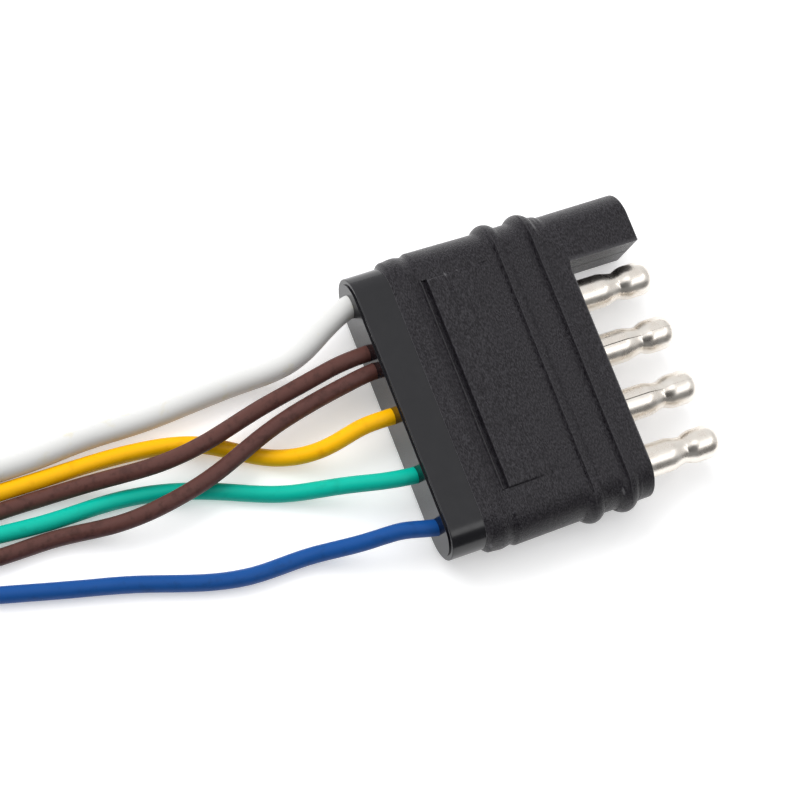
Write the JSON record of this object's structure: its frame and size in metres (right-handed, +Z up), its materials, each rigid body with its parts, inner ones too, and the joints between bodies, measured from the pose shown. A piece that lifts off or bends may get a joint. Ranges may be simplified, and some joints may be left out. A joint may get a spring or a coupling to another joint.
{
  "type": "trailer wiring connector",
  "caption": "Flat trailer wiring connector: a row of bullet pins and a shrouded ground socket in a ribbed moulding, with insulated leads out of its rear face.",
  "frame": {"origin": "centre of the mating face, on the axis of the yellow pin, at half the thickness", "axes": "+X the way the pins point, out of the mating face; +Y along the row towards the ground socket; +Z up, out of the broad face with the grip pad"},
  "size_m": [0.1104, 0.0462, 0.01],
  "materials": {
    "overmould_black": "soft black PVC with a fine spark-eroded grain",
    "collar_black": "smooth satin black moulding",
    "nickel": "bright nickel plate on rolled brass",
    "copper": "bare copper strands",
    "white_pvc": "semi-gloss insulation",
    "brown_pvc": "semi-gloss insulation",
    "yellow_pvc": "semi-gloss insulation",
    "green_pvc": "semi-gloss insulation",
    "blue_pvc": "semi-gloss insulation"
  },
  "bodies": {
    "connector": {"overmould": "overmould_black", "inner_moulding": "collar_black", "ground_socket": "nickel", "brown_pin": "nickel", "yellow_pin": "nickel", "green_pin": "nickel", "blue_pin": "nickel", "white_jacket_fixed": "white_pvc", "white_strands_fixed": "copper", "brown_upper_jacket_fixed": "brown_pvc", "brown_upper_strands_fixed": "copper", "brown_lower_jacket_fixed": "brown_pvc", "brown_lower_strands_fixed": "copper", "yellow_jacket_fixed": "yellow_pvc", "yellow_strands_fixed": "copper", "green_jacket_fixed": "green_pvc", "green_strands_fixed": "copper", "blue_jacket_fixed": "blue_pvc", "blue_strands_fixed": "copper"},
    "white_lead": {"white_jacket_free": "white_pvc", "white_strands_free": "copper"},
    "brown_upper_lead": {"brown_upper_jacket_free": "brown_pvc", "brown_upper_strands_free": "copper"},
    "brown_lower_lead": {"brown_lower_jacket_free": "brown_pvc", "brown_lower_strands_free": "copper"},
    "yellow_lead": {"yellow_jacket_free": "yellow_pvc", "yellow_strands_free": "copper"},
    "green_lead": {"green_jacket_free": "green_pvc", "green_strands_free": "copper"},
    "blue_lead": {"blue_jacket_free": "blue_pvc", "blue_strands_free": "copper"}
  },
  "joints": [
    {"name": "white_lead_bend", "type": "hinge", "parent": "connector", "child": "white_lead", "pos_m": [-0.036, 0.016, 0], "axis": [0, 1, 0], "range_deg": [-60, 60], "stiffness_Nm_per_rad": 0.01},
    {"name": "brown_upper_lead_bend", "type": "hinge", "parent": "connector", "child": "brown_upper_lead", "pos_m": [-0.036, 0.01, 0], "axis": [0, 1, 0], "range_deg": [0, 60], "stiffness_Nm_per_rad": 0.01},
    {"name": "brown_lower_lead_bend", "type": "hinge", "parent": "connector", "child": "brown_lower_lead", "pos_m": [-0.036, 0.007, 0], "axis": [0, 1, 0], "range_deg": [0, 60], "stiffness_Nm_per_rad": 0.01},
    {"name": "yellow_lead_bend", "type": "hinge", "parent": "connector", "child": "yellow_lead", "pos_m": [-0.036, 0.0005, 0], "axis": [0, 1, 0], "range_deg": [-60, 0], "stiffness_Nm_per_rad": 0.01},
    {"name": "green_lead_bend", "type": "hinge", "parent": "connector", "child": "green_lead", "pos_m": [-0.036, -0.008, 0], "axis": [0, 1, 0], "range_deg": [-60, 0], "stiffness_Nm_per_rad": 0.01},
    {"name": "blue_lead_bend", "type": "hinge", "parent": "connector", "child": "blue_lead", "pos_m": [-0.036, -0.0155, 0], "axis": [0, 1, 0], "range_deg": [-60, 60], "stiffness_Nm_per_rad": 0.01}
  ]
}
